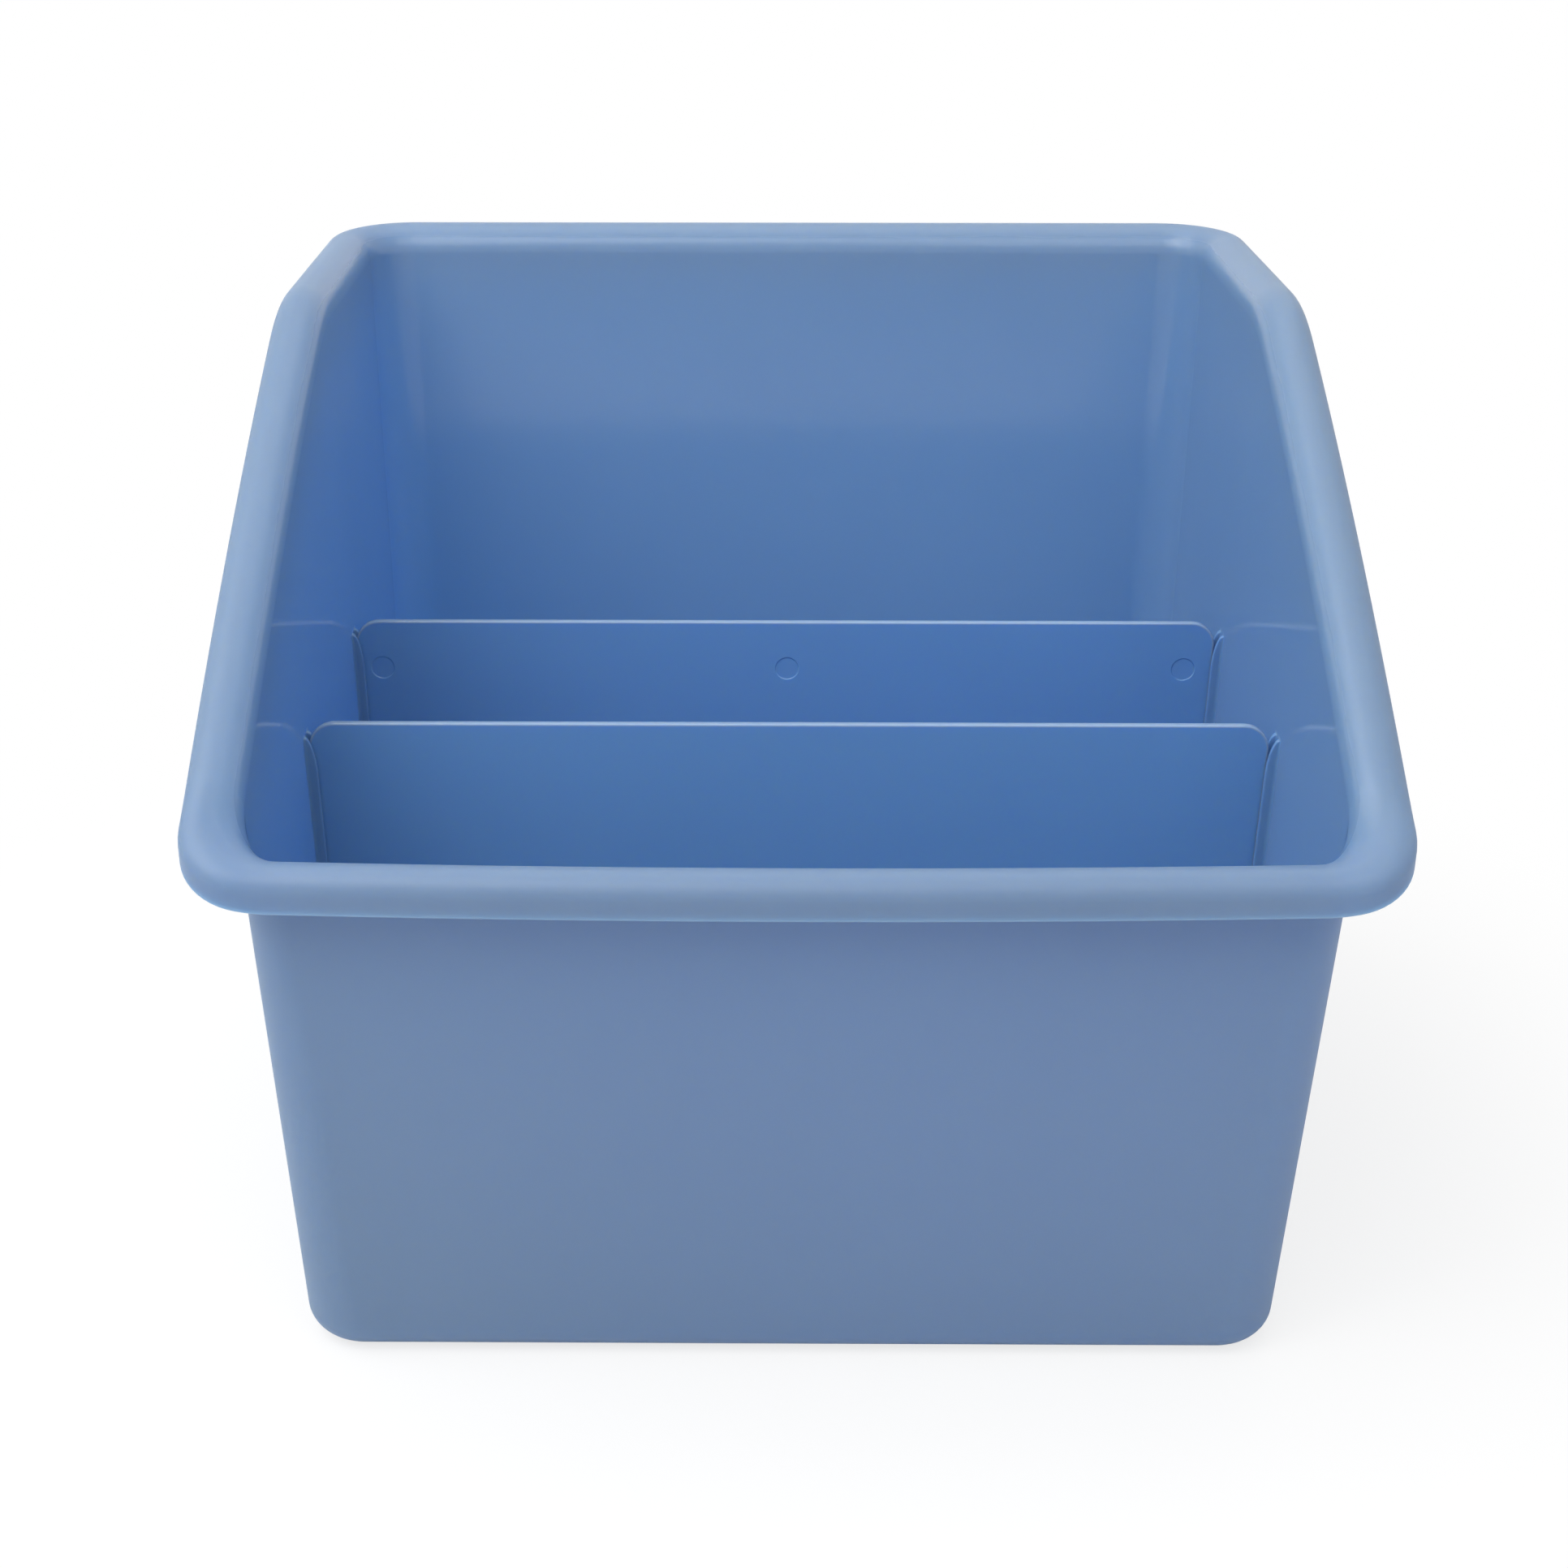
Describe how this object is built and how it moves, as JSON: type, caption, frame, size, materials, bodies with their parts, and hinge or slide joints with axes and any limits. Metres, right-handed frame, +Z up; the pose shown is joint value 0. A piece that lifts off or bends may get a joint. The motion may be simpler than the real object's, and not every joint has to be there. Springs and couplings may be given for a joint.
{
  "type": "book bin",
  "caption": "Open plastic book bin with a tall back, sloping rolled rim and low front; flat dividers lift out of slots between ribs on the side walls.",
  "frame": {"origin": "centre of the outline seen from above, on the surface that the bin stands on", "axes": "+X to the right seen from the low front, +Y towards the tall back, +Z up"},
  "size_m": [0.3284, 0.328, 0.277],
  "materials": {
    "tub_plastic": "glossy, smooth, very slightly see-through at thin edges",
    "divider_plastic": "glossy, smooth"
  },
  "bodies": {
    "tub": {"tub": "tub_plastic"},
    "front_divider": {"front_divider": "divider_plastic"},
    "rear_divider": {"rear_divider": "divider_plastic"}
  },
  "joints": [
    {"name": "front_divider_lift", "type": "slide", "parent": "tub", "child": "front_divider", "axis": [0, 0, 1], "range_m": [0, 0.285]},
    {"name": "rear_divider_lift", "type": "slide", "parent": "tub", "child": "rear_divider", "axis": [0, 0, 1], "range_m": [0, 0.285]}
  ]
}
